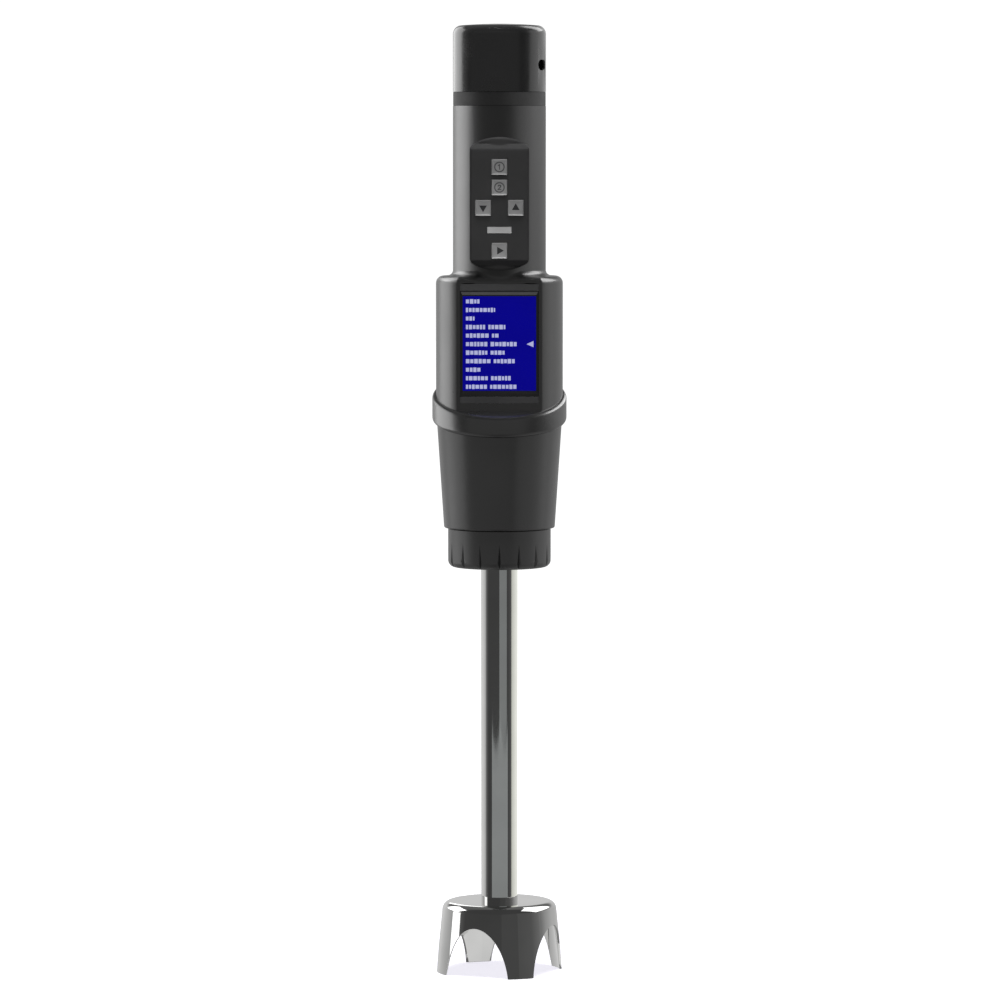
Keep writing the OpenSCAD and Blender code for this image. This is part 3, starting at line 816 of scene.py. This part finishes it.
def make_status_light():
    """The grey bar between the keys: a lens in its hole, on a wider base behind the pad."""
    points, faces = joined([block(0, light_z, LENS_W, LENS_H, pad_front + 0.1, pad_front - 2),
                            block(0, light_z, 20, 7, pad_front - 2, pad_front - 3)])
    add_mesh("status_lens", points, faces, light_mat, "motor_unit", ["status_light"], bevel=0.3)


make_pad()
for key in KEYS:
    make_key(key)
make_status_light()


# ---------------------------------------------------------------- display

TOP_ROW = 3.6  # from the panel's upper edge to the middle of the first row
ROW_PITCH = 5.76
ROW_LENGTHS = [10.5, 19.7, 5.8, 26.6, 22.7, 34.2, 26.1, 33.5, 10.8, 31.4, 34.2]
PICKED_ROW = 5
LEFT_MARGIN = 2.7
TEXT_H = 3.0
LETTER_GAP = 0.55
WORD_GAP = 2.2
LIT_HALF = 24.7


def make_display_frame():
    """The frame round the lit area, with a lip that slopes in towards the panel."""
    half_w, front, back = frame_high.x, -frame_low.y, -frame_high.y
    lit_w, lit_low, lit_high = LIT_HALF, panel_low.z + 0.1, panel_high.z - 0.1

    def rectangle(w, low, high, y):
        return [(-w, -y, low), (w, -y, low), (w, -y, high), (-w, -y, high)]

    rings = [rectangle(half_w, frame_bottom, frame_top, front - 0.9),
             rectangle(half_w, frame_bottom, frame_top, front),
             rectangle(half_w - 0.5, lit_low - 1.9, lit_high + 2.9, front),
             rectangle(lit_w + 0.25, lit_low - 0.6, lit_high + 0.9, front - 0.35),
             rectangle(lit_w, lit_low, lit_high, front - 0.42),
             rectangle(lit_w, lit_low, lit_high, back),
             rectangle(half_w, frame_bottom, frame_top, back)]
    points, faces = tube_of_rings(rings, closed=True)
    add_mesh("display_surround", points, faces, frame_mat, "motor_unit", ["display_frame"], sharp=4)


def make_trim(name, inner_z, outer_z):
    """A strip above or below the display that slopes from the housing's flat front into the recess."""
    half_w, front, recess, back = frame_high.x, flat_d - 0.02, -frame_low.y - 0.05, flat_d - 2
    rings = [[(x, -front, outer_z), (x, -recess, inner_z), (x, -back, inner_z), (x, -back, outer_z)]
             for x in (-half_w, half_w)]
    points, faces = tube_of_rings(rings)
    add_mesh(name, points, faces, trim_mat, "motor_unit", sharp=20)


def make_display_picture():
    """The lit picture: rows of plain word-like bars on blue, with a pointer at the picked row."""
    dice = random.Random(7)
    front = -panel_low.y + 0.02
    left = -panel_high.x + LEFT_MARGIN
    row_z = [panel_high.z - TOP_ROW - ROW_PITCH * row for row in range(len(ROW_LENGTHS))]
    shapes = []
    for z, length in zip(row_z, ROW_LENGTHS):
        x, end = left, left + length
        letters = 0
        while x < end - 0.8:
            w = min(dice.choice((1.5, 1.8, 2.1, 2.4)), end - x)
            h = TEXT_H * dice.choice((0.86, 0.93, 1.0))
            shapes.append(block(x + w / 2, z, w, h, front + 0.01, front))
            letters += 1
            x += w + (WORD_GAP if letters in (6, 12) and end - x > 8 else LETTER_GAP)
    pointer = [(-2.5, 0), (2.2, -2.1), (2.2, 2.1)]
    shapes.append(plate(pointer, panel_high.x - 4.5, row_z[PICKED_ROW], front - 0.02, 0.0))
    points, faces = joined(shapes)
    add_mesh("display_words", points, faces, text_mat, "motor_unit")


make_display_frame()
make_trim("display_trim_top", frame_top, opening_high)
make_trim("display_trim_low", frame_bottom, opening_low)
make_display_picture()


# ---------------------------------------------------------------- guard bell

LEG_TURN = 20  # degrees from the front to the first leg's middle
ARCH_DROP = 12  # how far the arch's ellipse has its centre below the floor
ARCH_W = 24.1
ARCH_H = 33.6
GUARD_WALL = 1.5
FOOT_R = 43.25
RIM_R = FOOT_R - 10.15
GUARD_FLAT = guard_top - 3.4
RIM_FILLET = 6.0
LEAN = 5.6  # degrees by which the wall leans inward


def arch_height(x):
    """Height of an arched window's edge at a distance x from its middle line."""
    if abs(x) >= ARCH_W:
        return -ARCH_DROP
    return -ARCH_DROP + (ARCH_H + ARCH_DROP) * math.sqrt(1 - (x / ARCH_W) ** 2)


def rim_point(degrees, inset):
    """Radius and height on the rim's rounding, by degrees from the top."""
    a = math.radians(degrees)
    r = RIM_FILLET - inset
    return RIM_R + r * math.sin(a), GUARD_FLAT - RIM_FILLET + r * math.cos(a)


def wall_radius(z, inset):
    """Radius of the bell's leaning wall at a height."""
    top_r, top_z = rim_point(90 - LEAN, inset)
    return FOOT_R - inset + (top_r - FOOT_R + inset) * z / top_z


def window_edge(turn, inset):
    """Height of the bell's lower edge at a turn, on the outside or the inside of the wall."""
    off = (turn - LEG_TURN) % 90 - 45
    z = 10.0
    for _ in range(12):
        z = max(0.0, arch_height(wall_radius(z, inset) * math.sin(math.radians(off))))
    return z


def make_guard():
    """The polished bell with four arched windows, and the socket under its top for the tube."""
    foot_w = ARCH_W * math.sqrt(1 - (ARCH_DROP / (ARCH_H + ARCH_DROP)) ** 2)
    foot = math.degrees(math.asin(foot_w / FOOT_R))
    offsets = [foot * math.sin(math.radians(90 * k / 22)) for k in range(23)]
    offsets += [foot + (45 - foot) * k / 6 for k in range(1, 7)]
    offsets = sorted({round(s * o, 4) for o in offsets for s in (-1, 1)})[:-1]
    turns = [LEG_TURN + 45 + 90 * q + o for q in range(4) for o in offsets]
    wall_steps = [k / 14 for k in range(15)]
    rim_turns = [(90 - LEAN) * (1 - k / 12) for k in range(1, 13)]

    def profile(turn, inset):
        low, top = window_edge(turn, inset), rim_point(90 - LEAN, inset)[1]
        heights = [low + (top - low) * step for step in wall_steps]
        return [(wall_radius(z, inset), z) for z in heights] + [rim_point(a, inset) for a in rim_turns]

    ceiling, socket = GUARD_FLAT - GUARD_WALL, GUARD_FLAT - 5
    crown = [(r, GUARD_FLAT) for r in (24.0, 18.0, 14.0, 11.5, 9.5)]
    under = [(24.0, ceiling), (10.6, ceiling), (10.0, GUARD_FLAT - 2.2), (10.0, socket), (8.0, socket)]
    outside = [profile(turn, 0) + crown for turn in turns]
    inside = [profile(turn, GUARD_WALL) + under for turn in turns]

    def at(table, i, j):
        r, z = table[i][j]
        a = math.radians(turns[i])
        return r * math.sin(a), -r * math.cos(a), z

    points, faces = shell(len(turns), len(outside[0]), lambda i, j: at(outside, i, j),
                          lambda i, j: at(inside, i, j), wrap=True)
    add_mesh("guard_bell_polished", points, faces, guard_mat, "foot", ["guard_bell"], bevel=0.28, sharp=40)


def make_neck():
    """The short block on the guard that the tube stands on."""
    bore_r, low, edge = 8.2, GUARD_FLAT - 0.3, 0.15
    section = [(bore_r, low), (tube_r, low), (tube_r, guard_top - edge), (tube_r - edge, guard_top),
               (bore_r, guard_top)]
    points, faces = tube_of_rings([circle(r, z, 128) for r, z in section], closed=True)
    add_mesh("guard_neck", points, faces, guard_mat, "foot", sharp=30)


make_guard()
make_neck()


# ---------------------------------------------------------------- smoother CAD nodes

ROUND_NODES = ("lock_nut", "battery_cap", "motor_cup", "seal_band", "blade", "blade_nut", "tube_hub",
               "handle_shell")

for name in ROUND_NODES:
    node = frame["nodes"][name]
    weld = node.modifiers.new("weld", "WELD")
    weld.merge_threshold = 0.002 * MM
    even = node.modifiers.new("even_normals", "WEIGHTED_NORMAL")
    even.keep_sharp = True


# ---------------------------------------------------------------- floor, world and light

FLOOR_R = 12.0  # metres
floor_data = bpy.data.meshes.new("floor")
floor_data.from_pydata(circle(FLOOR_R, 0, 96), [], [tuple(range(96))])
floor = bpy.data.objects.new("floor", floor_data)
bpy.context.scene.collection.objects.link(floor)
floor.visible_glossy = False
floor.visible_diffuse = False
floor_look = Look("pale_floor", (0.80, 0.80, 0.80), 0.9, Specular_IOR_Level=0.0)
# The floor's glow is lilac grey near the axis and turns white by 0.9 m out. This is a painted shadow round
# the feet, on top of the real shadow that the fill light casts.
away = floor_look.node("ShaderNodeVectorMath", operation="LENGTH")
floor_look.link(floor_look.coordinates, away.inputs[0])
painted_shadow_fade = floor_look.spread(away.outputs["Value"], 0, 1, source=(0.12, 0.9))
floor_look.link(floor_look.ramp(painted_shadow_fade, (0.0, (0.76, 0.745, 0.82)), (1.0, (1.0, 1.0, 1.0))),
                floor_look.shader.inputs["Emission Color"])
floor_look.shader.inputs["Emission Strength"].default_value = 1.0
floor_data.materials.append(floor_look.material)

world = bpy.data.worlds.new("studio")
bpy.context.scene.world = world
world.use_nodes = True
tree = world.node_tree
tree.nodes.clear()


def world_node(kind, **values):
    return new_node(tree, kind, **values)


def world_math(operation, a, b=None):
    """A sum worked out from two sockets, or from a socket and a number."""
    made = world_node("ShaderNodeMath", operation=operation)
    for socket, value in zip(made.inputs, (a, b)):
        if isinstance(value, (int, float)):
            socket.default_value = value
        elif value is not None:
            tree.links.new(value, socket)
    return made.outputs[0]


direction = world_node("ShaderNodeSeparateXYZ")
tree.links.new(world_node("ShaderNodeTexCoord").outputs["Generated"], direction.inputs[0])
turn = world_math("ARCTAN2", direction.outputs["X"], world_math("MULTIPLY", direction.outputs["Y"], -1.0))
place = world_math("ADD", world_math("DIVIDE", turn, TAU), 0.5)


def world_ramp(*stops):
    """Brightness round the horizon, by degrees from the front towards the right."""
    return color_ramp(tree, place, [((degrees + 180) / 360, (grey, grey, grey)) for degrees, grey in stops])


def world_blend(factor, low, high):
    """One colour turning into another by a factor."""
    mix = world_node("ShaderNodeMix", data_type="RGBA")
    for socket, value in ((0, factor), (6, low), (7, high)):
        tree.links.new(value, mix.inputs[socket])
    return mix.outputs[2]


def world_step(value, start, end):
    """A smooth step from 0 to 1 between two values."""
    step = world_node("ShaderNodeMapRange", interpolation_type="SMOOTHSTEP")
    step.inputs["From Min"].default_value, step.inputs["From Max"].default_value = start, end
    tree.links.new(value, step.inputs["Value"])
    return step.outputs["Result"]


DARK = 0.055  # the front half of the room, which the smooth shells reflect
height = direction.outputs["Z"]
horizon = world_ramp((-180, 0.62), (-150, 0.66), (-128, 0.50), (-112, 0.40), (-96, 0.26), (-84, 0.10),
                     (-72, DARK), (40, DARK), (66, 0.07), (84, 0.13), (104, 0.32), (128, 0.46),
                     (150, 0.50), (180, 0.62))
above = world_ramp((-180, 0.14), (-110, 0.12), (-80, 0.05), (80, 0.05), (120, 0.12), (180, 0.14))
below = world_ramp((-180, 0.30), (-90, 0.22), (0, 0.08), (90, 0.22), (180, 0.30))
around = world_blend(world_step(height, 0.22, 0.45), horizon, above)
around = world_blend(world_step(height, -0.25, -0.50), around, below)
background = world_node("ShaderNodeBackground")
tree.links.new(around, background.inputs["Color"])
seen = world_node("ShaderNodeBackground")  # the plain white that the camera sees behind the object
seen.inputs["Color"].default_value = (1, 1, 1, 1)
seen.inputs["Strength"].default_value = 1.05
mix = world_node("ShaderNodeMixShader")
tree.links.new(world_node("ShaderNodeLightPath").outputs["Is Camera Ray"], mix.inputs["Fac"])
tree.links.new(background.outputs[0], mix.inputs[1])
tree.links.new(seen.outputs[0], mix.inputs[2])
tree.links.new(mix.outputs[0], world_node("ShaderNodeOutputWorld").inputs["Surface"])


def softbox(name, turn, reach, height, target, width, length, glow, color=(1, 1, 1), only=None):
    """A soft panel at a turn from the front and a reach from the axis, which glows evenly (metres)."""
    light = bpy.data.lights.new(name, "AREA")
    light.shape = "RECTANGLE"
    light.size, light.size_y = width, length
    light.energy = glow * math.pi * width * length
    light.color = color
    lamp = bpy.data.objects.new(name, light)
    bpy.context.scene.collection.objects.link(lamp)
    a = math.radians(turn)
    lamp.location = (reach * math.sin(a), -reach * math.cos(a), height)
    lamp.rotation_euler = (Vector(target) - lamp.location).to_track_quat("-Z", "Y").to_euler()
    lamp.visible_camera = False
    if only:
        lamp.light_linking.receiver_collection = only
    return lamp


def pieces(name, *starts):
    """A collection of the pieces whose names start as given, for a light that reaches only them."""
    group = bpy.data.collections.new(name)
    for piece in bpy.context.scene.objects:
        if piece.type == "MESH" and piece.name.startswith(starts):
            group.objects.link(piece)
    return group


def wall_light(name, start, end, height, length, glow, only, color=(1, 1, 1), reach=3.0):
    """An upright panel that spans the turns from start to end, for some of the pieces."""
    width = 2 * reach * math.tan(math.radians((end - start) / 2))
    softbox(name, (start + end) / 2, reach, height, (0, 0, height), width, length, glow, color, only)


the_cap = pieces("the_cap", "battery_cap")
the_band = pieces("the_band", "seal_band")
the_handle = pieces("the_handle", "handle_shell")
the_keys = pieces("the_keys", "key_", "status_lens")
the_pad = pieces("the_pad", "keypad_pad")
the_top_trim = pieces("the_top_trim", "display_trim_top")
the_frame = pieces("the_frame", "display_surround")
the_front = pieces("the_front", "display_housing", "shoulder_cove")
the_housing = pieces("the_housing", "display_housing", "shoulder_cove", "display_trim")
the_collar = pieces("the_collar", "collar_band")
the_cup = pieces("the_cup", "motor_cup", "lock_nut")
the_tube = pieces("the_tube", "shaft_tube", "tube_hub")
the_guard = pieces("the_guard", "guard_")
the_shoulder = pieces("the_shoulder", "display_housing", "shoulder_cove", "handle_shell")
CREAM = (1.0, 1.02, 0.90)
COOL = (0.95, 1.0, 1.0)

# studio panels, each for some of the pieces: first and last turn, middle height, length and glow
wall_light("cap_left", -160, -106, 1.1, 3.2, 1.7, the_cap)
wall_light("cap_right", 80, 168, 1.1, 3.2, 0.42, the_cap)
wall_light("cap_front", -75, 50, 1.1, 3.2, 0.07, the_cap)
wall_light("band_left", -160, -70, 1.0, 3.2, 0.30, the_band)
wall_light("band_right", 24, 150, 1.0, 3.2, 0.18, the_band)
wall_light("handle_left", -138, -80, 1.0, 3.2, 1.5, the_handle)
wall_light("handle_right", 40, 100, 1.0, 3.2, 0.24, the_handle)
wall_light("housing_left", -136, -96, 0.8, 3.2, 1.0, the_housing)
wall_light("housing_right", 78, 112, 0.8, 3.2, 0.14, the_housing)
wall_light("housing_front", -60, 75, 0.8, 3.2, 0.045, the_front)
wall_light("pad_front", -35, 35, 0.5, 2.0, 0.36, the_pad)
wall_light("trim_front", -30, 30, 0.5, 2.0, 0.62, the_top_trim)
wall_light("collar_left", -140, -87, 0.7, 3.2, 1.3, the_collar)
wall_light("collar_front", -60, 50, 0.5, 3.2, 0.08, the_collar)
wall_light("cup_front", -80, 25, 0.5, 3.2, 0.08, the_cup)
wall_light("cup_left", -122, -72, 0.5, 3.2, 0.28, the_cup)
wall_light("cup_right", 30, 104, 0.5, 3.2, 0.12, the_cup)
wall_light("tube_left", -140, -97, 0.5, 3.4, 0.2, the_tube)
wall_light("tube_right", 82, 175, 0.5, 3.4, 0.48, the_tube, CREAM)
wall_light("tube_front", 0, 47, 0.267, 0.666, 0.17, the_tube, COOL, 2.0)
wall_light("tube_low_left", -48, 3, -0.333, 0.534, 0.22, the_tube, COOL, 2.0)
wall_light("tube_low_right", 3, 54, -0.333, 0.534, 0.22, the_tube, COOL, 2.0)
softbox("cap_top", 132, 0.85, 1.26, (0, 0, 0.6), 0.55, 0.8, 2.6, only=the_cap)
softbox("right_top", 112, 0.85, 1.16, (0, 0, 0.47), 0.75, 0.8, 2.6, only=the_shoulder)
softbox("left_top", -130, 1.0, 1.1, (0, 0, 0.47), 0.9, 0.6, 2.2, only=the_shoulder)
softbox("frame_low", 0, 0.6, 0.20, (0, 0, 0.46), 0.6, 0.16, 0.6, only=the_frame)
softbox("collar_top", 120, 1.1, 0.9, (0, 0, 0.40), 1.6, 0.6, 3.0, only=the_collar)
keys_low = softbox("keys_low", 0, 0.18, 0.03, (0, -0.035, 0.53), 0.5, 0.26, 18.0, only=the_keys)
keys_low.visible_glossy = False
wall_light("keys_left", -102, -66, 0.55, 1.0, 0.9, the_keys, reach=1.5)
wall_light("guard_strip", -106, -84, 0.08, 0.42, 1.3, the_guard, reach=1.2)
wall_light("guard_face", 4, 88, 0.1, 1.2, 0.011, the_guard, reach=1.2)
wall_light("guard_side", 36, 88, 0.1, 1.2, 0.016, the_guard, reach=1.2)
softbox("guard_left", -115, 1.2, 0.75, (0, 0, 0.04), 1.1, 0.78, 2.0, only=the_guard)
softbox("guard_back", -172, 1.3, 0.65, (0, 0, 0.04), 0.40, 0.40, 1.6, only=the_guard)
softbox("guard_right", 110, 1.1, 1.1, (0, 0, 0.04), 1.6, 1.1, 1.8, only=the_guard)
softbox("guard_floor", 0, 0.22, -0.05, (0, -0.22, 1), 0.5, 0.4, 0.6, only=the_guard)
fill = softbox("fill", 8, 0.45, 2.5, (0, 0, 0.4), 1.2, 0.8, 18.0)
fill.visible_glossy = False

bpy.context.scene.view_settings.view_transform = "Standard"
